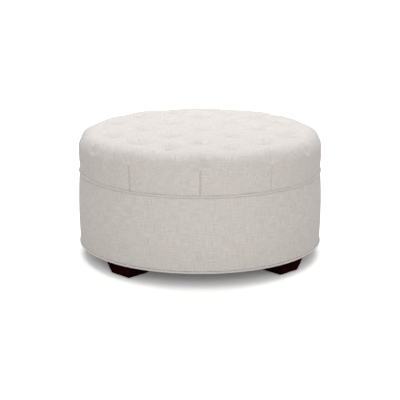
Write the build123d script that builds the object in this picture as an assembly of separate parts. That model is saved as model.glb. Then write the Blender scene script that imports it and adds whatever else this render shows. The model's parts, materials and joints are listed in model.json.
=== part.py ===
from build123d import *
from math import atan2, cos, degrees, hypot, pi, radians, sin, tan
import os

# Round tufted ottoman, in millimetres. The floor is z = 0, the axis of the drum is Z and the
# front is -Y. A drum frame of plywood and softwood stands on four tapered feet. A hardboard
# wall and a padded fabric panel wrap its side, and a thick tufted cushion sits on its deck.
os.makedirs("parts", exist_ok=True)

# Clearances
wrap_gap = 0.2
drill_gap = 0.15
overrun = 1.0

# Feet and their glides
foot_count = 4
foot_turn = 3.8
foot_setback = 55.3
foot_bottom_side = 92.5
foot_top_side = 124.0
foot_height = 53.0
foot_edge_chamfer = 1.5
glide_radius = 12.0
glide_sides = 12
glide_thickness = 3.0

# Base frame
frame_radius = 440.0
base_ring_width = 132.0
base_ring_thickness = 18.0
post_count = 8
post_side = 38.0
post_setback = 6.0
housing_depth = 5.0
deck_top = 329.5
deck_thickness = 15.0
rail_width = 28.0
rail_depth = 60.0
rail_end_setback = 28.0
block_side = 90.0
block_thickness = 18.0

# Side wall and its coverings
liner_thickness = 3.0
panel_thickness = 9.2
side_swell = 4.6
swell_edge_height = 21.0
dust_cover_thickness = 1.0
dust_cover_sides = 32
dust_cover_setback = 8.0

# Welts: a fabric-covered cord, pressed flat against what it is fixed to
welt_radius = 3.25
welt_steps = 3
welt_proud = 0.4

# Tufted cushion
seat_overhang = 2.0
seat_draw_in = 3.0
seat_top = 480.0
shoulder_lift = 0.4
shoulder_steps = 6
tuft_rows = 3
tuft_sides = 12
tuft_lip_slope = 22.0
tuft_throat_slope = 50.0
tuft_tip_radius = 6.0
side_tuft_turns = (0.0, 33.3, 58.1, 90.0)
side_tuft_radius = 28.0
side_tuft_slope = 38.0
pleat_width = 7.0
pleat_depth = 7.0
cover_least_thickness = 4.0
cover_side_thickness = 34.6
foam_sides = 24

# Shares of the cushion's radius
tuft_pitch_x_share = 0.251
tuft_pitch_y_share = 0.2657
puff_ball_share = 1.76
tuft_lip_share = 0.1
tuft_throat_share = 0.0415

# Shares of the cushion's height, or of the foam's for its bevel
shoulder_share = 0.56
side_tuft_share = 0.58
puff_base_drop_share = 0.225
foam_bevel_share = 0.4

# Twines that hold the top tufts, and the discs that they are tied to under the deck
twine_radius = 1.0
twine_sides = 4
disc_radius = 9.0
disc_sides = 6
disc_thickness = 3.0

# Foot bolts and their nuts
bolt_sides = 8
bolt_radius = 4.0
bolt_depth_in_foot = 32.0
bolt_stand = 6.0
nut_flange_radius = 11.0
nut_flange_thickness = 1.6
nut_barrel_radius = 5.2
nut_barrel_length = 12.0
nut_sides = 8

# Countersunk wood screws
screw_sides = 6
screw_radius = 2.4
screw_head_radius = 4.6
screw_head_height = 4.0
screw_length = 50.0
rail_screw_length = 42.0
rail_screw_setback = 112.0
rail_screw_count = 3

# Heights and radii that follow from the sizes above
foot_top = glide_thickness + foot_height
base_bottom = foot_top + dust_cover_thickness
base_ring_top = base_bottom + base_ring_thickness
block_top = base_ring_top + block_thickness
deck_bottom = deck_top - deck_thickness
liner_radius = frame_radius + wrap_gap + liner_thickness
panel_radius = liner_radius + wrap_gap + panel_thickness
welt_centre_radius = panel_radius + welt_proud - welt_radius
upper_welt_height = deck_top - welt_radius - wrap_gap
lower_welt_height = base_bottom - welt_radius + dust_cover_thickness
panel_bottom = lower_welt_height + welt_radius + wrap_gap
panel_top = upper_welt_height - welt_radius - wrap_gap
foot_ring_radius = frame_radius - foot_setback
post_ring_radius = frame_radius - post_setback - post_side / 2
post_length = deck_bottom - base_ring_top + 2 * housing_depth
dust_cover_radius = welt_centre_radius - welt_radius - dust_cover_setback
seat_radius = panel_radius + seat_overhang
seat_hem_radius = seat_radius - seat_draw_in
seat_height = seat_top - deck_top
shoulder_radius = seat_height * shoulder_share
flat_radius = seat_radius - shoulder_radius
shoulder_base = seat_top - shoulder_radius
tuft_pitch_x = seat_radius * tuft_pitch_x_share
tuft_pitch_y = seat_radius * tuft_pitch_y_share
tuft_lip_radius = seat_radius * tuft_lip_share
tuft_throat_radius = seat_radius * tuft_throat_share
puff_ball_radius = seat_radius * puff_ball_share
puff_base_drop = seat_height * puff_base_drop_share
side_tuft_height = deck_top + seat_height * side_tuft_share
foam_radius = seat_radius - cover_side_thickness
rail_half_spacing = tuft_pitch_x / 2
half_turn = 180
full_turn = 360


def save(node, shape):
    export_step(shape, f"parts/{node}.step")


def group(shapes):
    return Compound(children=[solid for shape in shapes for solid in shape.solids()])


def prism(radius, sides, bottom, top):
    """An upright many-sided bar on the Z axis."""
    return Pos(0, 0, bottom) * extrude(RegularPolygon(radius, sides), top - bottom)


def disc(radius, bottom, top):
    return Pos(0, 0, bottom) * extrude(Circle(radius), top - bottom)


def revolved(*outline):
    """A closed outline of radius and height points, turned about the drum's axis."""
    return revolve(Plane.XZ * make_face(Polyline(*outline, close=True)), Axis.Z)


def square_bar(side, length):
    return extrude(Rectangle(side, side), length)


def on_ring(radius, turn, height=0):
    """A place on a ring round the drum's axis, turned to face outwards."""
    return Rot(0, 0, turn) * Pos(radius, 0, height)


def ring_of(count, radius, first_turn, height):
    return [on_ring(radius, first_turn + full_turn / count * k, height) for k in range(count)]


def foot_places(height):
    """The feet's ring is turned a little, and their sides stay square to the drum's diagonals."""
    ring = ring_of(foot_count, foot_ring_radius, full_turn / foot_count / 2 + foot_turn, height)
    return [place * Rot(0, 0, -foot_turn) for place in ring]


def post_places(height):
    """The posts stand between the feet and to either side of them."""
    first = full_turn / post_count / 2 + foot_turn
    return ring_of(post_count, post_ring_radius, first, height)


# Feet, glides, bolts and nuts. Each is drawn at the origin and placed by the loops in main.
def foot():
    slope = degrees(atan2((foot_top_side - foot_bottom_side) / 2, foot_height))
    upside_down = extrude(Rectangle(foot_top_side, foot_top_side), foot_height, taper=slope)
    block = Pos(0, 0, foot_height) * Rot(half_turn, 0, 0) * upside_down
    block = chamfer(block.faces().sort_by(Axis.Z)[0].edges(), foot_edge_chamfer)
    bore_bottom = foot_height - bolt_depth_in_foot - drill_gap
    return block - prism(bolt_radius + drill_gap, bolt_sides, bore_bottom, foot_height + overrun)


def welt_relief():
    """What the feet's outer corners leave free for the lower welt."""
    bottom = lower_welt_height - welt_radius - wrap_gap
    outside = disc(panel_radius + foot_top_side, bottom, foot_top + overrun)
    return outside - disc(welt_centre_radius - wrap_gap, bottom - overrun, foot_top + 2 * overrun)


def foot_bolt():
    """A bolt from inside the foot, up through the base, the block and the nut."""
    top = block_top + nut_flange_thickness + bolt_stand - foot_top
    return prism(bolt_radius, bolt_sides, -bolt_depth_in_foot, top)


def foot_nut():
    """A nut whose flange lies on the block and whose barrel goes down into it."""
    body = prism(nut_flange_radius, nut_sides, 0, nut_flange_thickness)
    body += prism(nut_barrel_radius, bolt_sides, -nut_barrel_length, 0)
    return body - prism(bolt_radius + drill_gap, bolt_sides, -nut_barrel_length, nut_flange_thickness)


def bolt_ways():
    """The holes for the foot bolts and the nuts' barrels, through all of the base."""
    way = prism(nut_barrel_radius + drill_gap, bolt_sides, foot_top - overrun, block_top + overrun)
    return [place * way for place in foot_places(0)]


# Screws
def screw(length, grow=0):
    """A countersunk screw, head up and point down, or with grow the hole that it sits in."""
    shank = prism(screw_radius + grow, screw_sides, -length - grow, 0)
    slope = degrees(atan2(screw_head_radius - screw_radius, screw_head_height))
    head = extrude(RegularPolygon(screw_head_radius + grow, screw_sides), screw_head_height, taper=slope)
    return shank + Rot(half_turn, 0, 0) * head


def rail_screw_places():
    reach = frame_radius - rail_end_setback - rail_screw_setback
    steps = [reach * (2 * k / (rail_screw_count - 1) - 1) for k in range(rail_screw_count)]
    return [Pos(side * rail_half_spacing, step, deck_top) for side in (-1, 1) for step in steps]


def screws(places, length, upwards=False, grow=0):
    turn = Rot(half_turn if upwards else 0, 0, 0)
    return [place * turn * screw(length, grow) for place in places]


# Frame
def post():
    return Pos(0, 0, -housing_depth) * square_bar(post_side, post_length)


def base_ring(cutters):
    ring = disc(frame_radius, base_bottom, base_ring_top)
    inner = prism(frame_radius - base_ring_width, 2 * post_count, base_bottom, base_ring_top)
    return ring - [inner, *cutters]


def deck_rail(side):
    length = 2 * (frame_radius - rail_end_setback)
    rail = Box(rail_width, length, rail_depth, align=(Align.CENTER, Align.CENTER, Align.MAX))
    return Pos(side * rail_half_spacing, 0, deck_bottom) * rail


# Coverings of the side
def wall_liner():
    inner_radius = frame_radius + wrap_gap
    return disc(liner_radius, base_bottom, deck_top) - disc(inner_radius, base_bottom, deck_top)


def side_panel():
    """The fabric with the padding behind it, straight inside and drawn in at both edges outside."""
    inner_radius = liner_radius + wrap_gap
    swollen_radius = panel_radius + side_swell
    return revolved(
        (inner_radius, panel_bottom),
        (panel_radius, panel_bottom),
        (swollen_radius, panel_bottom + swell_edge_height),
        (swollen_radius, panel_top - swell_edge_height),
        (panel_radius, panel_top),
        (inner_radius, panel_top),
    )


def welt(height):
    """A half-round cord, rounded in short steps, with its flat back inwards."""
    outline = []
    for k in range(welt_steps + 1):
        bend = pi * (k / welt_steps - 1 / 2)
        outline.append((welt_centre_radius + welt_radius * cos(bend), height + welt_radius * sin(bend)))
    return revolved(*outline)


# A grid of even and odd places covers the cushion's top. Even places are tufts, apart from the
# grid's corners, which lie off the drum, and odd places are the crowns of the puffs.
def grid_point(column, row):
    return (column * tuft_pitch_x, row * tuft_pitch_y)


grid_steps = range(-tuft_rows, tuft_rows + 1)
grid = [(i, j) for i in grid_steps for j in grid_steps]
top_tufts = [grid_point(i, j) for i, j in grid if (i + j) % 2 == 0 and abs(i) + abs(j) < 2 * tuft_rows]
puff_crowns = [grid_point(i, j) for i, j in grid if (i + j) % 2]


def all_side_tuft_turns():
    """The side tufts' turns from the front, mirrored to both sides and to the back."""
    mirrored = [side * turn for turn in side_tuft_turns for side in (-1, 1)]
    return sorted({(turn + back) % full_turn for turn in mirrored for back in (0, half_turn)})


def puff(crown):
    """The top of a very large ball, which swells between four tufts."""
    x, y = crown
    ball = Pos(x, y, seat_top - puff_ball_radius) * Rot(half_turn / 2, 0, 0) * Sphere(puff_ball_radius)
    reach = 2 * puff_ball_radius
    lid = Box(reach, reach, puff_base_drop + overrun, align=(Align.CENTER, Align.CENTER, Align.MIN))
    return ball & Pos(x, y, seat_top - puff_base_drop) * lid


def hollow(mouth_radius, floor_radius, slope):
    """A many-sided hollow from its mouth, at z = 0, down to its floor, and its depth."""
    depth = (mouth_radius - floor_radius) * cos(pi / tuft_sides) * tan(radians(slope))
    cutter = extrude(RegularPolygon(mouth_radius, tuft_sides), depth, taper=half_turn / 2 - slope)
    return Rot(half_turn, 0, 0) * cutter, depth


def top_tuft_cutter():
    """A wide gentle lip over a narrow steep throat, from its mouth down, and its depth."""
    lip, lip_depth = hollow(tuft_lip_radius, tuft_throat_radius, tuft_lip_slope)
    throat, throat_depth = hollow(tuft_throat_radius, tuft_tip_radius, tuft_throat_slope)
    return lip + Pos(0, 0, -lip_depth) * throat, lip_depth + throat_depth


def crown_drop(place):
    """How far below the crowns the puffs meet at a place."""
    nearest = min(hypot(place[0] - x, place[1] - y) for x, y in puff_crowns)
    return puff_ball_radius - (puff_ball_radius**2 - nearest**2) ** 0.5


def top_tuft_cutters():
    cutter = top_tuft_cutter()[0]
    lip_rise = tuft_lip_radius**2 / puff_ball_radius
    return [Pos(x, y, seat_top - crown_drop((x, y)) + lip_rise) * cutter for x, y in top_tufts]


def side_tuft_cutters():
    """Each side tuft faces out of the shoulder and has a sharp pleat from it down to the welt."""
    cutter = hollow(side_tuft_radius, tuft_tip_radius, side_tuft_slope)[0]
    lean = degrees(atan2(side_tuft_height - shoulder_base, shoulder_radius))
    mouth, half_width = seat_radius + overrun, pleat_width / 2
    pleat = Polyline((seat_radius - pleat_depth, 0), (mouth, half_width), (mouth, -half_width), close=True)
    slot = Pos(0, 0, deck_top - overrun) * extrude(make_face(pleat), side_tuft_height - deck_top + overrun)
    cutters = []
    for turn in all_side_tuft_turns():
        turn -= half_turn / 2
        place = on_ring(seat_radius, turn, side_tuft_height)
        cutters.append(place * Rot(0, half_turn / 2 - lean, 0) * cutter)
        cutters.append(Rot(0, 0, turn) * slot)
    return cutters


def seat_envelope():
    """The drum that the puffs stay inside: a drawn-in side and a shoulder rounded in short steps."""
    top = seat_top + shoulder_lift
    rounding = []
    for k in range(shoulder_steps + 1):
        bend = pi / 2 * k / shoulder_steps
        rise = shoulder_radius * (sin(bend) - 1)
        rounding.append((flat_radius + shoulder_radius * cos(bend), top + rise))
    return revolved((0, deck_top), (seat_hem_radius, deck_top), *rounding, (0, top))


def foam_core(grow=0):
    """The foam block with its bevelled top edge, or with grow its hollow in the cover."""
    radius = foam_radius + grow
    trunk = prism(radius, foam_sides, deck_top - grow, foam_top - foam_bevel)
    bevel = extrude(RegularPolygon(radius, foam_sides), foam_bevel + grow, taper=half_turn / 4)
    return trunk + Pos(0, 0, foam_top - foam_bevel) * bevel


def tufted_cover():
    """The sewn cover with its wadding: puffs outside, and a plain hollow for the foam."""
    block = disc(seat_radius + overrun, deck_top - overrun, seat_top - puff_base_drop)
    quilt = block + [puff(crown) for crown in puff_crowns]
    cushion = seat_envelope() & quilt
    return cushion - [*top_tuft_cutters(), *side_tuft_cutters(), foam_core(wrap_gap)]


tuft_depth = top_tuft_cutter()[1]
foam_top = seat_top - crown_drop(top_tufts[0]) - tuft_depth - cover_least_thickness
foam_bevel = (foam_top - deck_top) * foam_bevel_share


def twine(place, grow=0):
    """The twine straight down from a top tuft, or with grow its channel in foam and deck."""
    bevel_drop = max(hypot(*place) + tuft_tip_radius - (foam_radius - foam_bevel), 0)
    top = foam_top - bevel_drop - wrap_gap
    if grow:
        top = foam_top + overrun
    return Pos(*place) * prism(twine_radius + grow, twine_sides, deck_bottom, top)


def twine_disc(place):
    return Pos(*place) * prism(disc_radius, disc_sides, deck_bottom - disc_thickness, deck_bottom)


def main():
    save("tufted_cover", tufted_cover())
    channels = [twine(place, drill_gap) for place in top_tufts]
    save("seat_foam", foam_core() - channels)
    save("tuft_twines", group(twine(place) for place in top_tufts))
    save("twine_discs", group(twine_disc(place) for place in top_tufts))

    deck_heads = post_places(deck_top)
    base_heads = post_places(base_bottom)
    deck_holes = screws(deck_heads, screw_length, grow=drill_gap)
    base_holes = screws(base_heads, screw_length, upwards=True, grow=drill_gap)
    rail_holes = screws(rail_screw_places(), rail_screw_length, grow=drill_gap)
    save("deck_screws", group(screws(deck_heads, screw_length)))
    save("base_screws", group(screws(base_heads, screw_length, upwards=True)))
    save("rail_screws", group(screws(rail_screw_places(), rail_screw_length)))

    posts = [place * post() for place in post_places(base_ring_top)]
    ways = bolt_ways()
    deck = disc(frame_radius, deck_bottom, deck_top)
    save("top_deck", deck - [*posts, *channels, *deck_holes, *rail_holes])
    save("base_ring", base_ring([*posts, *ways, *base_holes]))
    for k, blank in enumerate(posts):
        save(f"post_{k + 1}", blank - [deck_holes[k], base_holes[k]])
    for k, side in enumerate((-1, 1)):
        save(f"deck_rail_{k + 1}", deck_rail(side) - rail_holes)

    for k in range(foot_count):
        block = foot_places(base_ring_top)[k] * square_bar(block_side, block_thickness)
        save(f"foot_block_{k + 1}", block - ways[k])
        save(f"foot_{k + 1}", foot_places(glide_thickness)[k] * foot() - welt_relief())
    glide = prism(glide_radius, glide_sides, 0, glide_thickness)
    save("foot_glides", group(place * glide for place in foot_places(0)))
    save("foot_bolts", group(place * foot_bolt() for place in foot_places(foot_top)))
    save("foot_nuts", group(place * foot_nut() for place in foot_places(block_top)))

    save("wall_liner", wall_liner())
    save("side_panel", side_panel())
    save("upper_welt", welt(upper_welt_height))
    save("lower_welt", welt(lower_welt_height))
    cloth = prism(dust_cover_radius, dust_cover_sides, foot_top, base_bottom)
    save("dust_cover", cloth - ways)


main()
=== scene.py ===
from math import atan2, ceil, cos, hypot, pi, radians, sin
import json

import bmesh
import bpy
import numpy as np
from mathutils import Matrix, Vector


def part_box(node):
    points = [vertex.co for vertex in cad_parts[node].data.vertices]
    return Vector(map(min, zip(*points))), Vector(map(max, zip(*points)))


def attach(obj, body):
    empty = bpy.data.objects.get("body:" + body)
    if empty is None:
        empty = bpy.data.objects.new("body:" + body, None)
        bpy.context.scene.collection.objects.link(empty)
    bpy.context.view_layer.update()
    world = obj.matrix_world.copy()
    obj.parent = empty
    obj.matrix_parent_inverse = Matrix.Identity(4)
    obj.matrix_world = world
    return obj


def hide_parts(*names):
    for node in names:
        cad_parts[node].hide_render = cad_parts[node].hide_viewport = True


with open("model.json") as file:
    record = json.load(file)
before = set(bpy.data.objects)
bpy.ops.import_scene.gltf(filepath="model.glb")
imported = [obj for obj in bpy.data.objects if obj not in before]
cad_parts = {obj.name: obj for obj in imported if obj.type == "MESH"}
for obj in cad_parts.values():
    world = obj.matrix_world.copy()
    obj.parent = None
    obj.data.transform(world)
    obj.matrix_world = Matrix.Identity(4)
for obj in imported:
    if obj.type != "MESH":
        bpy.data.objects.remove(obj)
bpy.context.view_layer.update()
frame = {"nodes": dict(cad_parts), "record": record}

# Camera: places in metres, pitch in degrees, lens and sensor in millimetres
camera_back = 4.560
camera_height = 1.396
camera_pitch = 14.72
camera_lens = 111.7
camera_sensor = 36.0

# Light and floor
white = (1, 1, 1, 1)
room_light = 0.49
room_tint = (1.0, 0.995, 0.985, 1)
top_lamp_power = 46.0
top_lamp_size = (3.4, 1.0)
top_lamp_place = (0.0, 0.65, 2.7)
front_lamp_power = 27.0
front_lamp_size = (1.6, 1.6)
front_lamp_place = (0.2, -3.4, 1.4)
floor_reach = 12.0
floor_bounce = (0.78, 0.75, 0.73, 1)
floor_seen = (1.75, 1.75, 1.75, 1)
floor_seen_lift = 0.07
floor_white_from = 0.9
floor_white_to = 1.7

# The cushion's outline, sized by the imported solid's box
seat_low, seat_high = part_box("tufted_cover")
seat_radius = seat_high[0]
seat_hem = seat_low[2]
seat_top = seat_high[2]
crest_drop = 0.0037
shoulder_across = 0.070
shoulder_drop = 0.078
shoulder_power = 2.6
shoulder_samples = 240
brow_slope = radians(63.0)
brow_length = 0.013
brow_radius = 0.024
brow_samples = 12
hem_draw_in = 0.0045
hem_draw_power = 1.8
hem_roll = 0.0004
hem_lap = 0.0014
side_samples = 60
roll_samples = 6
slope_nudge = 0.002

# Tufts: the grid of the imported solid, and the shape of each hollow
pitch_x_share = 0.251
pitch_y_share = 0.2657
end_column_share = 0.97
end_row_share = 0.905
end_row_across_share = 0.94
tuft_rows = 3
tuft_depth = 0.0295
tuft_steepness = 1.7
deepest = 0.0310
tuft_reach_x = 0.066
tuft_reach_y = 0.056
tuft_roundness = 2.4
crown_rise = 0.0050
crown_reach = 0.105
crown_power = 1.5
outer_crown_share = 1.12
crease_depth = 0.0011
crease_spread = 0.016
crease_middle_share = 0.45
side_tuft_turns = (0.0, 33.3, 58.1, 90.0)
side_tuft_height_share = 0.71
side_tuft_depth = 0.009
side_tuft_reach_across = 0.020
side_tuft_reach_up = 0.050
side_tuft_reach_down = 0.014
side_tuft_lip_share = 0.16

# Pleats: sharp ones from the side tufts to the welt, and soft ones over the shoulder
pleat_depth = 0.0068
pleat_steep_side = 0.0013
pleat_gentle_side = 0.0034
pleat_start_drop = 0.014
pleat_growth = 0.006
pleat_hem_share = 0.35
pleat_hem_length = 0.010
soft_pleat_depth = 0.0030
soft_pleat_steep_side = 0.0016
soft_pleat_gentle_side = 0.0048
soft_pleat_start = 0.038
soft_pleat_growth = 0.008
soft_pleat_fade = 0.030

# Small folds that run into the tufts, and the slow lumps of the wadding
gather_depth = 0.0006
gather_start = 0.012
gather_reach = 0.040
gather_folds = 9
gather_phase = 1.7
wide_gather_folds = 5
wide_gather_phase = 2.9
wide_gather_share = 0.6
uneven_depth = 0.0009
lump_rates = (31, 27)
lump_phases = (1.3, 0.4)
drift_rates = (53, -41)
drift_phase = 2.2
drift_share = 0.6

# The cloth's mesh and its settling
grid_half = 80
grid_reach = 0.345
ring_step = 0.0046
warp_window = radians(6.8)
warp_density_share = 0.35
warp_growth = 1.6
settle_frames = 20
settle_pressure = 4.0
settle_quality = 5
settle_mass = 0.3
settle_stiffness = {"tension": 12, "compression": 8, "shear": 4, "bending": 0.4}
settle_cap = 0.004
settle_inset = 0.0015
inset_growth = 0.090
held_radius = 0.006
held_rings = 2


def rows_of(values, name):
    """Three numbers of every point, such as its place or its normal, in rows."""
    numbers = np.empty(len(values) * 3)
    values.foreach_get(name, numbers)
    return numbers.reshape(-1, 3)


def move_points(mesh, places):
    """Puts the mesh's points at these places."""
    mesh.vertices.foreach_set("co", np.ascontiguousarray(places, dtype=float).ravel())
    mesh.update()


def make_piece(name, points, faces, stands_for=()):
    """A smooth-shaded mesh object that rides on the one body."""
    mesh = bpy.data.meshes.new(name)
    mesh.from_pydata([tuple(p) for p in points], [], faces)
    mesh.validate()
    piece = bpy.data.objects.new(name, mesh)
    bpy.context.scene.collection.objects.link(piece)
    for face in mesh.polygons:
        face.use_smooth = True
    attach(piece, "root")
    if stands_for:
        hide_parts(*stands_for)
    return piece


def set_uv(mesh, flat_places):
    """Lays the texture on the cloth by each point's place on the flat cloth, in metres."""
    layer = mesh.uv_layers.new(name="UVMap")
    corners = np.empty(len(mesh.loops), dtype=np.int32)
    mesh.loops.foreach_get("vertex_index", corners)
    places = flat_places[corners, :2]
    layer.data.foreach_set("uv", np.ascontiguousarray(places, dtype=float).ravel())


def distance_along(across, up):
    """How far each point of an outline is from its first point, along the outline."""
    return np.concatenate([[0], np.cumsum(np.hypot(np.diff(across), np.diff(up)))])


# The cushion's outline, from the middle of its top out, over the shoulder and down to the hem
def shoulder_outline():
    """Radius and height from the crest over the shoulder and the brow, to the widest place."""
    flat_radius = seat_radius - shoulder_across
    widest = seat_top - crest_drop - shoulder_drop
    bend = np.linspace(0, pi / 2, shoulder_samples)
    radius = flat_radius + shoulder_across * np.sin(bend) ** (2 / shoulder_power)
    height = widest + shoulder_drop * np.cos(bend) ** (2 / shoulder_power)
    gentle = np.arctan2(-np.diff(height), np.diff(radius)) < brow_slope
    radius, height = radius[:-1][gentle], height[:-1][gentle]
    arc = np.linspace(brow_slope, pi / 2, brow_samples)
    out = brow_length * cos(brow_slope) + brow_radius * (np.sin(arc) - sin(brow_slope))
    down = brow_length * sin(brow_slope) + brow_radius * (cos(brow_slope) - np.cos(arc))
    radius = np.append(radius, radius[-1] + out)
    height = np.append(height, height[-1] - down)
    return radius + seat_radius - radius[-1], height


def side_outline(widest):
    """Radius and height from the widest place down to the hem, which rolls in."""
    fall = np.linspace(0, 1, side_samples)[1:]
    side_r = seat_radius - hem_draw_in * fall**hem_draw_power
    side_z = widest + (seat_hem + hem_roll - hem_lap - widest) * fall
    roll = np.linspace(0, pi / 2, roll_samples)[1:]
    roll_r = side_r[-1] - hem_roll * (1 - np.cos(roll))
    roll_z = side_z[-1] - hem_roll * np.sin(roll)
    return np.append(side_r, roll_r), np.append(side_z, roll_z)


def cushion_outline():
    """Distance along the whole outline, with its radius and height."""
    shoulder_r, shoulder_z = shoulder_outline()
    side_r, side_z = side_outline(shoulder_z[-1])
    radius = np.concatenate([[0], shoulder_r, side_r])
    height = np.concatenate([[seat_top - crest_drop], shoulder_z, side_z])
    return distance_along(radius, height), radius, height


outline_along, outline_radius, outline_height = cushion_outline()
cloth_reach = outline_along[-1]


def outline_at(along):
    """The outline's radius and height at distances along it."""
    radius = np.interp(along, outline_along, outline_radius)
    height = np.interp(along, outline_along, outline_height)
    return radius, height


def flat_place(x, y):
    """Where a point of the cushion's top lies on the flat cloth."""
    radius = hypot(x, y)
    if not radius:
        return 0.0, 0.0
    widest = int(np.argmax(outline_radius))
    along = np.interp(radius, outline_radius[:widest], outline_along[:widest])
    return x * along / radius, y * along / radius


def on_cushion(flat):
    """Places and outward directions on the smooth cushion, for places on the flat cloth."""
    along = np.hypot(flat[:, 0], flat[:, 1])
    turn = np.arctan2(flat[:, 1], flat[:, 0])
    radius, height = outline_at(along)
    radius_ahead, height_ahead = outline_at(np.minimum(along + slope_nudge, cloth_reach))
    radius_behind, height_behind = outline_at(np.maximum(along - slope_nudge, 0))
    run, rise = radius_ahead - radius_behind, height_ahead - height_behind
    length = np.hypot(run, rise)
    outward, upward = -rise / length, run / length
    places = np.stack([radius * np.cos(turn), radius * np.sin(turn), height], axis=1)
    normals = np.stack([outward * np.cos(turn), outward * np.sin(turn), upward], axis=1)
    return places, normals


# The grid of tufts. Even places are tufts, apart from the corners, and odd places are crowns.
def grid_place(column, row):
    """Where a place of the grid is, seen from above."""
    x = column * seat_radius * pitch_x_share
    y = row * seat_radius * pitch_y_share
    if abs(column) == tuft_rows:
        x *= end_column_share
    if abs(row) == tuft_rows:
        x *= end_row_across_share
        y *= end_row_share
    if (column + row) % 2 and max(abs(column), abs(row)) == tuft_rows:
        x *= outer_crown_share
        y *= outer_crown_share
    return x, y


steps = range(-tuft_rows, tuft_rows + 1)
cells = [(i, j) for i in steps for j in steps]
tuft_cells = [(i, j) for i, j in cells if (i + j) % 2 == 0 and abs(i) + abs(j) < 2 * tuft_rows]
crown_cells = [(i, j) for i, j in cells if (i + j) % 2]
tufts = {cell: flat_place(*grid_place(*cell)) for cell in tuft_cells}
crowns = [flat_place(*grid_place(*cell)) for cell in crown_cells]
outer_tufts = [tufts[cell] for cell in tuft_cells if hypot(*cell) > tuft_rows - 1]
soft_turns = [atan2(y, x) for x, y in outer_tufts]
side_turns = sorted({
    radians((side * turn + back) % 360 - 90)
    for turn in side_tuft_turns for side in (-1, 1) for back in (0, 180)
})
side_tuft_height = seat_hem + (seat_top - seat_hem) * side_tuft_height_share
side_tuft_along = float(np.interp(-side_tuft_height, -outline_height[1:], outline_along[1:]))


def dimple(distance, depth, lip):
    """A hollow with steep sides and a rounded lip, for distances as shares of its reach."""
    return depth * lip * np.logaddexp(0, (1 - distance) / lip)


def top_tuft_distance(flat, x, y):
    """How far each place is from a top tuft, as a share of the tuft's reach."""
    sideways = abs(flat[:, 0] - x) / tuft_reach_x
    lengthways = abs(flat[:, 1] - y) / tuft_reach_y
    return (sideways**tuft_roundness + lengthways**tuft_roundness) ** (1 / tuft_roundness)


def side_tuft_distance(flat, turn):
    """The same from a side tuft, which has a long slope above it and a short ledge below."""
    across, along = side_distance(flat, turn)
    down = along - side_tuft_along
    reach = np.where(down < 0, side_tuft_reach_up, side_tuft_reach_down)
    return np.hypot(across / side_tuft_reach_across, down / reach)


def side_distance(flat, turn):
    """How far each place is across from a ray of the cloth, with its sign, and along the outline."""
    along = np.hypot(flat[:, 0], flat[:, 1])
    radius = np.interp(along, outline_along, outline_radius)
    swing = np.arctan2(flat[:, 1], flat[:, 0]) - turn
    swing = (swing + pi) % (2 * pi) - pi
    return swing * radius, along


def quilted(flat):
    """How far the tufts, crowns and creases move each place out of the smooth cushion."""
    move = np.zeros(len(flat))
    for x, y in crowns:
        away = np.hypot(flat[:, 0] - x, flat[:, 1] - y)
        near = np.clip(1 - (away / crown_reach) ** 2, 0, 1)
        move = np.maximum(move, crown_rise * near**crown_power)
    for (i, j), (x, y) in tufts.items():
        for side in (-1, 1):
            if (i + 1, j + side) in tufts:
                move -= crease(flat, (x, y), tufts[(i + 1, j + side)])
    hollow = np.zeros(len(flat))
    for x, y in tufts.values():
        near = np.clip(1 - top_tuft_distance(flat, x, y), 0, 1)
        hollow += tuft_depth * near**tuft_steepness
    for turn in side_turns:
        away = side_tuft_distance(flat, turn)
        hollow = np.maximum(hollow, dimple(away, side_tuft_depth, side_tuft_lip_share))
    return np.maximum(move - hollow, -deepest)


def crease(flat, start, end):
    """A soft valley between two tufts, deepest beside them."""
    link = np.subtract(end, start)
    length = np.hypot(*link)
    from_start = flat[:, :2] - start
    share = np.clip(from_start @ link / length**2, 0, 1)
    away = np.hypot(*(from_start - share[:, None] * link).T)
    strength = crease_middle_share + (1 - crease_middle_share) * (2 * share - 1) ** 2
    return crease_depth * strength * np.exp(-((away / crease_spread) ** 2))


def fold(across, steep, gentle):
    """The cross-section of a folded pleat: steep on one side and gentle on the other."""
    spread = np.where(across < 0, steep, gentle)
    return np.exp(-((across / spread) ** 2))


def pleated(flat):
    """How far the sharp and the soft pleats cut into the cover."""
    cut = np.zeros(len(flat))
    for turn in side_turns:
        across, along = side_distance(flat, turn)
        growth = np.clip((along - side_tuft_along - pleat_start_drop) / pleat_growth, 0, 1)
        growth *= np.clip((cloth_reach - along) / pleat_hem_length, pleat_hem_share, 1)
        cut += pleat_depth * growth * fold(across, pleat_steep_side, pleat_gentle_side)
    for (x, y), turn in zip(outer_tufts, soft_turns):
        across, along = side_distance(flat, turn)
        past = along - hypot(x, y) - soft_pleat_start
        fade = np.exp(-np.clip(past, 0, None) / soft_pleat_fade)
        growth = np.clip(past / soft_pleat_growth, 0, 1) * fade
        section = fold(across, soft_pleat_steep_side, soft_pleat_gentle_side)
        cut += soft_pleat_depth * growth * section
    return cut


def gathered(flat):
    """Small folds that run into each tuft, with wider ones among them."""
    move = np.zeros(len(flat))
    for number, (x, y) in enumerate(tufts.values()):
        away = np.hypot(flat[:, 0] - x, flat[:, 1] - y)
        turn = np.arctan2(flat[:, 1] - y, flat[:, 0] - x)
        narrow = np.sin(gather_folds * turn + gather_phase * number)
        wide = np.sin(wide_gather_folds * turn + wide_gather_phase * number)
        near = np.clip(away / gather_start, 0, 1) * np.clip(1 - away / gather_reach, 0, 1) ** 2
        move += gather_depth * (narrow + wide_gather_share * wide) * near
    return move


def uneven(flat):
    """The slow unevenness of hand-laid wadding."""
    x, y = flat[:, 0], flat[:, 1]
    lumps = np.sin(lump_rates[0] * x + lump_phases[0]) * np.sin(lump_rates[1] * y + lump_phases[1])
    drifts = np.sin(drift_rates[0] * x + drift_rates[1] * y + drift_phase)
    return uneven_depth * (lumps + drift_share * drifts)


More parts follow.
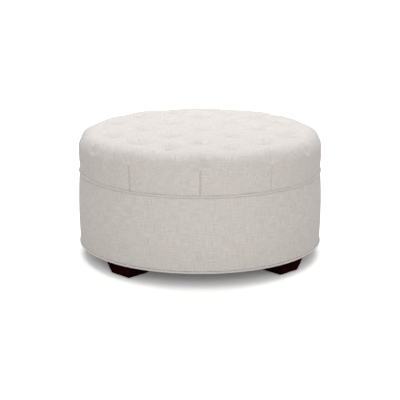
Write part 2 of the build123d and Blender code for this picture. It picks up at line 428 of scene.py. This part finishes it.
# The cloth's mesh: a square grid drawn round into a disc, and rings from there to the hem
def grid_faces(corner):
    """Four-sided faces between the neighbours in a grid of point numbers."""
    quads = [corner[:-1, :-1], corner[1:, :-1], corner[1:, 1:], corner[:-1, 1:]]
    return np.stack(quads, axis=-1).reshape(-1, 4)


def grid_disc(half, reach):
    """Places and faces of the grid, and its outermost points in order of their turn."""
    line = np.arange(-half, half + 1)
    i, j = np.meshgrid(line, line, indexing="ij")
    ring = np.maximum(abs(i), abs(j))
    with np.errstate(divide="ignore", invalid="ignore"):
        sideways = pi / 4 * j / i + np.where(i < 0, pi, 0)
        lengthways = pi / 2 - pi / 4 * i / j + np.where(j < 0, pi, 0)
    turn = np.where(abs(i) >= abs(j), sideways, lengthways)
    turn[ring == 0] = 0
    radius = ring * reach / half
    places = np.stack([radius * np.cos(turn), radius * np.sin(turn)], axis=-1).reshape(-1, 2)
    width = 2 * half + 1
    corner = np.arange(width * width).reshape(width, width)
    edges = [corner[-1, :-1], corner[::-1, -1][:-1], corner[0, ::-1][:-1], corner[:-1, 0]]
    return places, grid_faces(corner), np.concatenate(edges)


def drawn_to_pleats(turn, share):
    """Turns of the mesh's rays, drawn closer together beside the pleats."""
    drawn = turn.copy()
    for pleat in side_turns + soft_turns:
        swing = (turn - pleat + pi) % (2 * pi) - pi
        near = np.clip(abs(swing) / warp_window, 0, 1)
        squeezed = swing * (warp_density_share + (1 - warp_density_share) * near)
        drawn += np.where(near < 1, squeezed - swing, 0)
    return turn + (drawn - turn) * share


def cloth_mesh():
    """Flat places and faces of all of the cover, from its middle to its hem."""
    places, faces, rim = grid_disc(grid_half, grid_reach)
    turn = np.arctan2(places[rim, 1], places[rim, 0])
    ring_count = ceil((cloth_reach - grid_reach) / ring_step)
    flat, quads, last = [places], [faces], rim
    for k in range(1, ring_count + 1):
        along = grid_reach + (cloth_reach - grid_reach) * k / ring_count
        turned = drawn_to_pleats(turn, min(1.0, warp_growth * k / ring_count))
        flat.append(np.stack([along * np.cos(turned), along * np.sin(turned)], axis=1))
        here = len(places) + (k - 1) * len(rim) + np.arange(len(rim))
        quads.append(np.stack([last, here, np.roll(here, -1), np.roll(last, -1)], axis=1))
        last = here
    return np.concatenate(flat), np.concatenate(quads)


def held_points(flat):
    """The points that don't settle: in the tufts, on the sharp pleats and at the hem."""
    held = np.hypot(flat[:, 0], flat[:, 1]) > cloth_reach - held_rings * ring_step
    for x, y in tufts.values():
        held |= top_tuft_distance(flat, x, y) < 1
    for turn in side_turns:
        across, along = side_distance(flat, turn)
        held |= np.hypot(across, along - side_tuft_along) < held_radius
        held |= (abs(across) < pleat_gentle_side) & (along > side_tuft_along)
    return np.flatnonzero(held).tolist()


def puff(piece):
    """Runs the cloth for a few steps under pressure, and takes its last places."""
    cloth = piece.modifiers.new("settle", "CLOTH")
    cloth.settings.quality = settle_quality
    cloth.settings.mass = settle_mass
    for kind, stiffness in settle_stiffness.items():
        setattr(cloth.settings, f"{kind}_stiffness", stiffness)
    cloth.settings.vertex_group_mass = "held"
    cloth.settings.use_pressure = True
    cloth.settings.uniform_pressure_force = settle_pressure
    cloth.settings.effector_weights.gravity = 0
    cloth.point_cache.frame_start = 1
    cloth.point_cache.frame_end = settle_frames
    for step in range(1, settle_frames + 1):
        bpy.context.scene.frame_set(step)
    seen = piece.evaluated_get(bpy.context.evaluated_depsgraph_get())
    places = rows_of(seen.data.vertices, "co")
    piece.modifiers.remove(cloth)
    return places


def settle(piece, held):
    """Lets the cover puff up between its held points, no point by more than the cap."""
    start = rows_of(piece.data.vertices, "co")
    group = piece.vertex_groups.new(name="held")
    group.add(held, 1.0, "REPLACE")
    move = puff(piece) - start
    piece.vertex_groups.clear()
    bpy.context.scene.frame_set(1)
    length = np.linalg.norm(move, axis=1, keepdims=True)
    print(f"settled by {np.median(length) * 1000:.2f} mm, at most {length.max() * 1000:.2f} mm")
    move *= np.minimum(1, settle_cap / np.maximum(length, 1e-9))
    move_points(piece.data, start + move)


def cushion():
    """The tufted cover, as one closed form."""
    flat, faces = cloth_mesh()
    smooth, outward = on_cushion(flat)
    from_hem = np.clip((cloth_reach - np.hypot(flat[:, 0], flat[:, 1])) / inset_growth, 0, 1)
    points = smooth + outward * (quilted(flat) - settle_inset * from_hem)[:, None]
    piece = make_piece("tufted_cushion", points, faces.tolist(), ["tufted_cover"])
    settle(piece, held_points(flat))
    note_flat(piece.data, flat)
    refine(piece)
    mesh = piece.data
    fine = rows_of(mesh.attributes["flat"].data, "vector")
    cut = pleated(fine) - gathered(fine) - uneven(fine)
    normals = rows_of(mesh.vertices, "normal")
    move_points(mesh, rows_of(mesh.vertices, "co") - normals * cut[:, None])
    set_uv(mesh, fine)
    close_below(mesh)
    return piece


def note_flat(mesh, flat):
    """Notes each point's place on the flat cloth, so that it lasts through the subdivision."""
    note = mesh.attributes.new("flat", "FLOAT_VECTOR", "POINT")
    places = np.concatenate([flat, np.zeros((len(flat), 1))], axis=1)
    note.data.foreach_set("vector", np.ascontiguousarray(places, dtype=float).ravel())


def refine(piece):
    """One subdivision, applied to the mesh."""
    finer = piece.modifiers.new("finer", "SUBSURF")
    finer.levels = finer.render_levels = 1
    seen = piece.evaluated_get(bpy.context.evaluated_depsgraph_get())
    mesh = bpy.data.meshes.new_from_object(seen)
    piece.modifiers.remove(finer)
    piece.data = mesh


def close_below(mesh):
    """Closes the cover under the cushion."""
    work = bmesh.new()
    work.from_mesh(mesh)
    rim = [edge for edge in work.edges if edge.is_boundary]
    bmesh.ops.holes_fill(work, edges=rim, sides=0)
    work.to_mesh(mesh)
    work.free()


# The side's cloth: a strip with both edges turned in, sewn up at the back
panel_low, panel_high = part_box("side_panel")
panel_segments = 720
panel_rows = 56
panel_edge_samples = 7
panel_tuck = 0.007
panel_upper_edge = 0.0050
panel_lower_edge = 0.0025
panel_swell = 0.0046
panel_swell_power = 0.8
panel_calm_edge = 0.03
seam_depth = 0.0035
seam_width = 0.0016
seam_puff = 0.0008
seam_puff_width = 0.010
long_wave_depth = 0.0004
long_wave_rates = (7, 12)
long_wave_phase = 0.8
short_wave_depth = 0.0003
short_wave_rate = 19


def panel_outline():
    """Radius, height and distance along the side's cloth, with both edges turned in."""
    edge = panel_high[0] - panel_swell
    low, high = panel_low[2], panel_high[2]
    turn = np.linspace(0, pi / 2, panel_edge_samples)
    lower_r = edge - panel_lower_edge * (1 - np.sin(turn))
    lower_z = low + panel_lower_edge * (1 - np.cos(turn))
    upper_r = (edge - panel_upper_edge * (1 - np.sin(turn)))[::-1]
    upper_z = (high - panel_upper_edge * (1 - np.cos(turn)))[::-1]
    rise = np.linspace(0, 1, panel_rows)[1:-1]
    middle_r = edge + panel_swell * np.sin(pi * rise) ** panel_swell_power
    middle_z = lower_z[-1] + (upper_z[0] - lower_z[-1]) * rise
    tucked = [edge - panel_tuck]
    radius = np.concatenate([tucked, lower_r, middle_r, upper_r, tucked])
    height = np.concatenate([[low], lower_z, middle_z, upper_z, [high]])
    return radius, height, distance_along(radius, height)


def swept(outline_r, outline_z, segments, start_turn=0.0):
    """Points, faces and turns of an outline swept about the z axis, open at its own seam."""
    turns = start_turn + 2 * pi * np.arange(segments + 1) / segments
    radius, turn = np.meshgrid(outline_r, turns)
    height = np.tile(outline_z, (segments + 1, 1))
    points = np.stack([radius * np.cos(turn), radius * np.sin(turn), height], axis=-1).reshape(-1, 3)
    corner = np.arange(radius.size).reshape(radius.shape)
    return points, grid_faces(corner), turn.reshape(-1)


def side_cloth():
    """The strip of cloth round the side, with its seam at the back."""
    radius, height, along = panel_outline()
    points, faces, turn = swept(radius, height, panel_segments, pi / 2)
    length = panel_high[0] * 2 * pi
    flat = np.stack([(turn - pi / 2) * panel_high[0], np.tile(along, panel_segments + 1)], axis=1)
    from_seam = np.minimum(flat[:, 0], length - flat[:, 0])
    seam = seam_depth * np.exp(-((from_seam / seam_width) ** 2))
    seam -= seam_puff * np.exp(-((from_seam / seam_puff_width) ** 2))
    round_wave = np.sin(flat[:, 0] * long_wave_rates[0] + long_wave_phase)
    long_wave = round_wave * np.sin(flat[:, 1] * long_wave_rates[1])
    short_wave = np.sin(flat[:, 0] * short_wave_rate)
    waves = long_wave_depth * long_wave + short_wave_depth * short_wave
    inside = np.clip(np.minimum(along, along[-1] - along) / panel_calm_edge, 0, 1)
    move = np.tile(inside, panel_segments + 1) * (waves - seam)
    outward = points / np.hypot(points[:, 0], points[:, 1])[:, None] * (1, 1, 0)
    points += outward * move[:, None]
    piece = make_piece("side_cloth", points, faces.tolist(), ["side_panel"])
    set_uv(piece.data, flat)
    return piece


# Welts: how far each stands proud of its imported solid, its cord's radius, and ripples along both
upper_welt_proud = 0.0028
upper_welt_cord = 0.0039
lower_welt_proud = 0.0046
lower_welt_cord = 0.0038
welt_segments = 720
welt_sides = 16
long_ripple = (0.00018, 0.037, 0)
short_ripple = (0.00012, 0.0235, 1)


def welt_ring(node, proud, cord):
    """A covered cord: a round ring that stands a little proud of the side."""
    low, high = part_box(node)
    centre_radius = high[0] + proud - cord
    centre_height = (high[2] + low[2]) / 2
    around = 2 * pi * np.arange(welt_sides + 1) / welt_sides
    outline_r = centre_radius + cord * np.cos(around)
    outline_z = centre_height + cord * np.sin(around)
    points, faces, turn = swept(outline_r, outline_z, welt_segments, pi / 2)
    along = (turn - pi / 2) * centre_radius
    for depth, length, phase in (long_ripple, short_ripple):
        points[:, 2] += depth * np.sin(along * 2 * pi / length + phase)
    piece = make_piece(f"{node}_cord", points, faces.tolist(), [node])
    set_uv(piece.data, np.stack([along, np.tile(cord * around, welt_segments + 1)], axis=1))
    return piece


# Feet: the width at the floor over the width at the top, and the rounding of the edges
foot_taper_share = 92.5 / 124
foot_edge = 0.0022
foot_bevel_steps = 4
foot_numbers = range(1, 5)
square_corners = ((-1, -1), (1, -1), (1, 1), (-1, 1))


def foot_centre(number):
    """The middle of a foot, which is the middle of the block over it."""
    low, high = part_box(f"foot_block_{number}")
    return (low[0] + high[0]) / 2, (low[1] + high[1]) / 2


def foot_piece(number):
    """A tapered square block with rounded edges, whose corners point along and across the drum."""
    node = f"foot_{number}"
    low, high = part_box(node)
    x, y = foot_centre(number)
    inner_corner = low[0] if x > 0 else high[0]
    top_side = abs(x - inner_corner) * 2**0.5
    work = bmesh.new()
    corners = []
    for side, height in ((top_side * foot_taper_share, low[2]), (top_side, high[2])):
        for a, b in square_corners:
            corners.append(work.verts.new((a * side / 2, b * side / 2, height)))
    work.faces.new(corners[3::-1])
    work.faces.new(corners[4:])
    for k in range(4):
        after = (k + 1) % 4
        work.faces.new((corners[k], corners[after], corners[4 + after], corners[4 + k]))
    edges = [edge for edge in work.edges if min(v.co.z for v in edge.verts) < high[2]]
    bmesh.ops.bevel(
        work, geom=edges, offset=foot_edge, segments=foot_bevel_steps, profile=0.5, affect="EDGES"
    )
    work.transform(Matrix.Translation((x, y, 0)) @ Matrix.Rotation(pi / 4, 4, "Z"))
    points = [v.co.copy() for v in work.verts]
    work.verts.index_update()
    faces = [[v.index for v in face.verts] for face in work.faces]
    work.free()
    piece = make_piece(f"{node}_block", points, faces, [node])
    shading = piece.modifiers.new("even_shading", "WEIGHTED_NORMAL")
    shading.keep_sharp = False
    return piece


# A glide's outline from its middle out and up, as shares of its radius and of its thickness
glide_out = (0, 0.20, 0.24, 0.78, 0.94, 1.0, 1.0)
glide_up = (0.35, 0.35, 0.0, 0.0, 0.18, 0.5, 1.0)
glide_segments = 48


def glides():
    """Four turned nylon glides, each with its nail's head sunk in the middle."""
    low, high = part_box("foot_glides")
    centres = [foot_centre(number) for number in foot_numbers]
    radius = (high[0] - low[0]) / 2 - max(x for x, y in centres)
    thick = high[2] - low[2]
    points, faces, _ = swept(np.multiply(glide_out, radius), np.multiply(glide_up, thick), glide_segments)
    all_points = np.concatenate([points + (x, y, low[2]) for x, y in centres])
    all_faces = np.concatenate([faces + len(points) * k for k in range(len(centres))])
    return make_piece("glide_set", all_points, all_faces.tolist(), ["foot_glides"])


# The dust cover, which sags but not near the feet, puckers at its edge, and is stapled there
dust_half = 60
dust_sag = 0.004
calm_by_foot = 0.085
calm_growth = 0.10
pucker_depth = 0.0005
pucker_from = 0.9
dust_staples = 64
staple_back = 0.009
staple_length = 0.010
staple_wire = 0.0007
staple_faces = ((0, 2, 4, 6), (7, 5, 3, 1), (0, 1, 3, 2), (2, 3, 5, 4), (4, 5, 7, 6), (6, 7, 1, 0))


def dust_sheet():
    """The black cloth stretched under the base, sagging a little between the feet."""
    low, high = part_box("dust_cover")
    reach = high[0]
    flat, faces, _ = grid_disc(dust_half, reach)
    away = np.hypot(flat[:, 0], flat[:, 1]) / reach
    sag = dust_sag * np.clip(1 - away**2, 0, 1)
    for number in foot_numbers:
        x, y = foot_centre(number)
        gap = np.hypot(flat[:, 0] - x, flat[:, 1] - y)
        sag *= np.clip((gap - calm_by_foot) / calm_growth, 0, 1)
    turn = np.arctan2(flat[:, 1], flat[:, 0])
    at_edge = np.clip((away - pucker_from) / (1 - pucker_from), 0, 1)
    puckers = pucker_depth * np.cos(turn * dust_staples) * at_edge
    height = (low[2] + high[2]) / 2 - sag - puckers
    points = np.concatenate([flat, height[:, None]], axis=1)
    piece = make_piece("dust_sheet", points, faces[:, ::-1].tolist(), ["dust_cover"])
    set_uv(piece.data, flat)
    return piece


def staples():
    """Wire staples along the dust cover's edge, in one piece."""
    low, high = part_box("dust_cover")
    points, faces = [], []
    for k in range(dust_staples):
        turn = Matrix.Rotation(2 * pi * (k + 0.5) / dust_staples, 4, "Z")
        place = turn @ Matrix.Translation((high[0] - staple_back, 0, low[2]))
        for face in staple_faces:
            faces.append([len(points) + corner for corner in face])
        for a, b in square_corners:
            for up in (-1, 1):
                spot = Vector((a * staple_wire, b * staple_length / 2, up * staple_wire))
                points.append(place @ spot)
    piece = make_piece("cover_staples", points, faces)
    for face in piece.data.polygons:
        face.use_smooth = False
    return piece


# Material helpers. A number that is the same all over is set on the shader's own socket.
def new_tree(name):
    """A new material with an empty tree of nodes."""
    material = bpy.data.materials.new(name)
    material.use_nodes = True
    material.node_tree.nodes.clear()
    return material, material.node_tree


def add(tree, kind, inputs=None, **settings):
    """A node with its settings, whose inputs are numbers, colours or other nodes' outputs."""
    node = tree.nodes.new(kind)
    for key, value in settings.items():
        setattr(node, key, value)
    for key, value in (inputs or {}).items():
        if isinstance(value, bpy.types.NodeSocket):
            tree.links.new(value, node.inputs[key])
        else:
            node.inputs[key].default_value = value
    return node


def maths(tree, operation, a, b=0.0, c=0.0):
    """The result of one operation on numbers."""
    return add(tree, "ShaderNodeMath", {0: a, 1: b, 2: c}, operation=operation).outputs[0]


def blended(tree, share, a, b):
    """A colour between two, where a share of 0 is the first and 1 the second."""
    return add(tree, "ShaderNodeMix", {0: share, 6: a, 7: b}, data_type="RGBA").outputs[2]


def ramp(tree, value, low, high, to_low=0.0, to_high=1.0):
    """The value, with the range from low to high moved to another range and cut off there."""
    inputs = {"Value": value, "From Min": low, "From Max": high, "To Min": to_low, "To Max": to_high}
    return add(tree, "ShaderNodeMapRange", inputs).outputs[0]


def object_place(tree):
    """Places in metres, from the piece's own origin."""
    return add(tree, "ShaderNodeTexCoord").outputs["Object"]


def cloth_place(tree):
    """Places along the cloth's two directions, in metres."""
    uv = add(tree, "ShaderNodeUVMap", uv_map="UVMap").outputs[0]
    place = add(tree, "ShaderNodeSeparateXYZ", {0: uv})
    return place.outputs[0], place.outputs[1]


def noise(tree, place, scale, **inputs):
    """Soft noise in all directions."""
    return add(tree, "ShaderNodeTexNoise", {"Vector": place, "Scale": scale, **inputs}).outputs[0]


def stretched_noise(tree, u, v, u_scale, v_scale, detail=2.0):
    """Noise along a cloth's two directions, with a size of its own in each."""
    scaled = {0: maths(tree, "MULTIPLY", u, u_scale), 1: maths(tree, "MULTIPLY", v, v_scale)}
    place = add(tree, "ShaderNodeCombineXYZ", scaled).outputs[0]
    inputs = {"Vector": place, "Scale": 1.0, "Detail": detail, "Roughness": 0.55}
    return add(tree, "ShaderNodeTexNoise", inputs, noise_dimensions="2D").outputs[0]


def finish_surface(tree, colour, roughness, height, bump_depth, **sockets):
    """The shader and the output, with the height as a bump of that depth."""
    inputs = {"Height": height, "Strength": 1.0, "Distance": bump_depth}
    bump = add(tree, "ShaderNodeBump", inputs).outputs[0]
    inputs = {"Base Color": colour, "Roughness": roughness, "Normal": bump}
    shader = add(tree, "ShaderNodeBsdfPrincipled", inputs)
    for key, value in sockets.items():
        shader.inputs[key.replace("_", " ")].default_value = value
    add(tree, "ShaderNodeOutputMaterial", {0: shader.outputs[0]})


# Cloth. Noise sizes are per metre, and a shade is a range of noise and the range of tone it gives.
thread_pitch = 0.0013
thread_level = 0.65
thread_wave = 0.35
linen_warm = (0.815, 0.755, 0.715, 1)
linen_cool = (0.765, 0.745, 0.725, 1)
linen_roughness = 0.92
linen_bump = 0.00022
slub_across = 520.0
slub_along = 22.0
slub_height = 0.8
slub_shade = (0.70, 1.30, 0.86, 1.09)
fleck_size = 330.0
fleck_shade = (0.3, 0.7, 0.93, 1.045)
# Painted shade: the weave's low places between the threads are painted darker, and its high places
# lighter
painted_thread_shade = (0.2, 1.0, 0.90, 1.03)
patch_size = 90.0
mottle_range = (0.35, 0.65)
cambric_pitch = 0.0022
cambric_fibres = 260.0
cambric_dark = (0.012, 0.012, 0.013, 1)
cambric_light = (0.040, 0.040, 0.042, 1)
cambric_roughness = 0.85
cambric_bump = 0.0002


def thread_height(tree, u, v, pitch):
    """Plain weave: rounded threads of two directions, each over and under the other."""
    across = maths(tree, "DIVIDE", u, pitch)
    along = maths(tree, "DIVIDE", v, pitch)
    round_u = maths(tree, "ABSOLUTE", maths(tree, "SINE", maths(tree, "MULTIPLY", across, pi)))
    round_v = maths(tree, "ABSOLUTE", maths(tree, "SINE", maths(tree, "MULTIPLY", along, pi)))
    step_u = maths(tree, "MULTIPLY", maths(tree, "FLOOR", across), pi)
    step_v = maths(tree, "MULTIPLY", maths(tree, "FLOOR", along), pi)
    wave_v = maths(tree, "SINE", maths(tree, "MULTIPLY_ADD", along, pi, step_u))
    wave_u = maths(tree, "SINE", maths(tree, "MULTIPLY_ADD", across, pi, step_v))
    over = maths(tree, "MULTIPLY_ADD", wave_v, thread_wave, thread_level)
    under = maths(tree, "MULTIPLY_ADD", wave_u, -thread_wave, thread_level)
    warp = maths(tree, "MULTIPLY", round_u, over)
    weft = maths(tree, "MULTIPLY", round_v, under)
    return maths(tree, "MAXIMUM", warp, weft)


def linen(name):
    """Slubby plain-woven cloth with warm and cool threads."""
    material, tree = new_tree(name)
    u, v = cloth_place(tree)
    height = thread_height(tree, u, v, thread_pitch)
    slub_v = stretched_noise(tree, u, v, slub_across, slub_along)
    slub_u = stretched_noise(tree, u, v, slub_along, slub_across)
    slubs = maths(tree, "ADD", slub_v, slub_u)
    patches = stretched_noise(tree, u, v, patch_size, patch_size, detail=3.0)
    fleck = stretched_noise(tree, u, v, fleck_size, fleck_size, detail=1.0)
    tone = blended(tree, ramp(tree, patches, *mottle_range), linen_warm, linen_cool)
    shade = ramp(tree, slubs, *slub_shade)
    shade = maths(tree, "MULTIPLY", shade, ramp(tree, fleck, *fleck_shade))
    # Painted shade between the threads: the colour is darker where the weave is low
    shade = maths(tree, "MULTIPLY", shade, ramp(tree, height, *painted_thread_shade))
    colour = add(tree, "ShaderNodeVectorMath", {0: tone, 1: shade}, operation="MULTIPLY").outputs[0]
    rise = maths(tree, "MULTIPLY_ADD", slubs, slub_height, height)
    finish_surface(
        tree, colour, linen_roughness, rise, linen_bump,
        Specular_IOR_Level=0.15, Sheen_Weight=0.12, Sheen_Roughness=0.5,
    )
    return material


def cambric(name):
    """Thin black non-woven cloth with a small pressed pattern."""
    material, tree = new_tree(name)
    u, v = cloth_place(tree)
    height = thread_height(tree, u, v, cambric_pitch)
    fibres = stretched_noise(tree, u, v, cambric_fibres, cambric_fibres, detail=4.0)
    colour = blended(tree, fibres, cambric_dark, cambric_light)
    rise = maths(tree, "ADD", height, fibres)
    finish_surface(tree, colour, cambric_roughness, rise, cambric_bump, Specular_IOR_Level=0.2)
    return material


# Wood: its dark and light colours, its roughness, its grain per metre and its shine
espresso_look = ((0.004, 0.0008, 0.0005, 1), (0.024, 0.0045, 0.0022, 1), 0.6, 60.0, 0.0)
plywood_look = ((0.42, 0.27, 0.14, 1), (0.66, 0.47, 0.28, 1), 0.7, 25.0, 0.4)
softwood_look = ((0.52, 0.33, 0.16, 1), (0.74, 0.55, 0.32, 1), 0.7, 35.0, 0.4)
grain_stretch = (1.0, 1.0, 0.12)
growth_shade = (0.35, 0.7, 0.0, 0.8)
pore_fineness = 14
pore_range = (0.4, 0.6)
pore_share = 0.3
wood_bump = 0.00012


def wood(name, dark, light, roughness, grain, shine):
    """Straight grain along the height, with pores and slow changes of colour."""
    material, tree = new_tree(name)
    inputs = {"Vector": object_place(tree), "Scale": grain_stretch}
    place = add(tree, "ShaderNodeMapping", inputs).outputs[0]
    growth = noise(tree, place, grain, Detail=6.0, Roughness=0.6, Distortion=0.6)
    pores = noise(tree, place, grain * pore_fineness, Detail=2.0)
    growth = ramp(tree, growth, *growth_shade)
    share = maths(tree, "MULTIPLY_ADD", ramp(tree, pores, *pore_range), pore_share, growth)
    colour = blended(tree, share, dark, light)
    finish_surface(tree, colour, roughness, pores, wood_bump, Specular_IOR_Level=shine)
    return material


# Mottled: two colours, roughness, mottles per metre, depth of the bump, and metal
mottled_looks = {
    "hardboard": ((0.13, 0.07, 0.035, 1), (0.19, 0.11, 0.06, 1), 0.6, 220.0, 0.0002, 0.0),
    "foam": ((0.80, 0.74, 0.52, 1), (0.86, 0.80, 0.60, 1), 0.95, 700.0, 0.0008, 0.0),
    "twine": ((0.62, 0.55, 0.40, 1), (0.74, 0.66, 0.50, 1), 0.8, 1500.0, 0.0003, 0.0),
    "fibreboard": ((0.16, 0.11, 0.06, 1), (0.24, 0.17, 0.10, 1), 0.8, 500.0, 0.0003, 0.0),
    "zinc_steel": ((0.62, 0.62, 0.64, 1), (0.50, 0.50, 0.53, 1), 0.35, 300.0, 0.0001, 1.0),
    "black_nylon": ((0.02, 0.02, 0.02, 1), (0.035, 0.035, 0.035, 1), 0.5, 900.0, 0.0001, 0.0),
}


def mottled(name, colour, second, roughness, scale, bump_depth, metal):
    """A mottled surface for the pieces that are mostly hidden."""
    material, tree = new_tree(name)
    mottle = noise(tree, object_place(tree), scale, Detail=4.0, Roughness=0.6)
    tone = blended(tree, ramp(tree, mottle, *mottle_range), colour, second)
    finish_surface(tree, tone, roughness, mottle, bump_depth, Metallic=metal)
    return material


def make_materials():
    """A finish for every material slot."""
    finishes = {
        "seat_fabric": linen("seat_linen"),
        "side_fabric": linen("side_linen"),
        "welt_fabric": linen("welt_linen"),
        "espresso_wood": wood("espresso_wood", *espresso_look),
        "plywood": wood("plywood", *plywood_look),
        "softwood": wood("softwood", *softwood_look),
        "black_cambric": cambric("black_cambric"),
    }
    for name, look in mottled_looks.items():
        finishes[name] = mottled(name, *look)
    return finishes


def dress(materials):
    """Gives every carried-over node the finish of its slot."""
    slot_of = {part["node"]: part["material_slot"] for part in frame["record"]["subparts"]}
    for node, piece in frame["nodes"].items():
        finish = materials[slot_of[node]]
        if not piece.material_slots:
            piece.data.materials.append(finish)
        for slot in piece.material_slots:
            slot.material = finish


# Stage
def backdrop_floor():
    """A flat floor under the feet."""
    mesh = bpy.data.meshes.new("floor")
    corners = [(a * floor_reach, b * floor_reach, 0) for a, b in square_corners]
    mesh.from_pydata(corners, [], [(0, 1, 2, 3)])
    floor = bpy.data.objects.new("floor", mesh)
    bpy.context.scene.collection.objects.link(floor)
    mesh.materials.append(floor_finish())


def floor_finish():
    """Shaded near the ottoman, white further off, and clear for a camera below the floor."""
    material, tree = new_tree("floor_white")
    to_camera = add(tree, "ShaderNodeLightPath").outputs["Is Camera Ray"]
    lit = add(tree, "ShaderNodeBsdfDiffuse", {"Color": floor_bounce}).outputs[0]
    shaded = add(tree, "ShaderNodeBsdfDiffuse", {"Color": floor_seen}).outputs[0]
    away = add(tree, "ShaderNodeVectorMath", {0: object_place(tree)}, operation="LENGTH").outputs["Value"]
    glow = ramp(tree, away, floor_white_from, floor_white_to, floor_seen_lift, 1.0)
    lift = add(tree, "ShaderNodeEmission", {"Color": white, "Strength": glow}).outputs[0]
    seen = add(tree, "ShaderNodeAddShader", {0: shaded, 1: lift}).outputs[0]
    above = add(tree, "ShaderNodeMixShader", {0: to_camera, 1: lit, 2: seen}).outputs[0]
    backfacing = add(tree, "ShaderNodeNewGeometry").outputs["Backfacing"]
    from_below = maths(tree, "MULTIPLY", to_camera, backfacing)
    clear = add(tree, "ShaderNodeBsdfTransparent").outputs[0]
    sides = add(tree, "ShaderNodeMixShader", {0: from_below, 1: above, 2: clear}).outputs[0]
    add(tree, "ShaderNodeOutputMaterial", {0: sides})
    return material


def room():
    """An even pale room, which the camera and reflections see as white."""
    world = bpy.data.worlds.new("room")
    bpy.context.scene.world = world
    world.use_nodes = True
    tree = world.node_tree
    tree.nodes.clear()
    path = add(tree, "ShaderNodeLightPath").outputs
    seen = maths(tree, "MAXIMUM", path["Is Camera Ray"], path["Is Glossy Ray"])
    seen = maths(tree, "MAXIMUM", seen, path["Is Transmission Ray"])
    shown = add(tree, "ShaderNodeBackground", {"Color": white, "Strength": 1.0}).outputs[0]
    light = add(tree, "ShaderNodeBackground", {"Color": room_tint, "Strength": room_light}).outputs[0]
    mix = add(tree, "ShaderNodeMixShader", {0: seen, 1: light, 2: shown}).outputs[0]
    add(tree, "ShaderNodeOutputWorld", {0: mix})


def lamp(name, place, size, power):
    """A soft box that faces the ottoman."""
    data = bpy.data.lights.new(name, "AREA")
    data.shape = "RECTANGLE"
    data.size, data.size_y = size
    data.energy = power
    light = bpy.data.objects.new(name, data)
    bpy.context.scene.collection.objects.link(light)
    light.location = place
    aim = Vector((0, 0, seat_hem)) - Vector(place)
    light.rotation_euler = aim.to_track_quat("-Z", "Y").to_euler()


def camera():
    """The photograph's view, from in front and above."""
    data = bpy.data.cameras.new("camera")
    data.lens = camera_lens
    data.sensor_width = camera_sensor
    eye = bpy.data.objects.new("camera", data)
    bpy.context.scene.collection.objects.link(eye)
    eye.location = (0, -camera_back, camera_height)
    eye.rotation_euler = (radians(90 - camera_pitch), 0, 0)
    bpy.context.scene.camera = eye


def main():
    """Makes the materials, the pieces with their finishes, and the stage."""
    materials = make_materials()
    dress(materials)
    pieces = {
        "seat_fabric": [cushion()],
        "side_fabric": [side_cloth()],
        "welt_fabric": [
            welt_ring("upper_welt", upper_welt_proud, upper_welt_cord),
            welt_ring("lower_welt", lower_welt_proud, lower_welt_cord),
        ],
        "espresso_wood": [foot_piece(number) for number in foot_numbers],
        "black_nylon": [glides()],
        "black_cambric": [dust_sheet()],
        "zinc_steel": [staples()],
    }
    for name, dressed in pieces.items():
        for piece in dressed:
            piece.data.materials.append(materials[name])
    backdrop_floor()
    room()
    lamp("top_lamp", top_lamp_place, top_lamp_size, top_lamp_power)
    lamp("front_lamp", front_lamp_place, front_lamp_size, front_lamp_power)
    camera()
    bpy.context.scene.view_settings.view_transform = "Standard"


main()
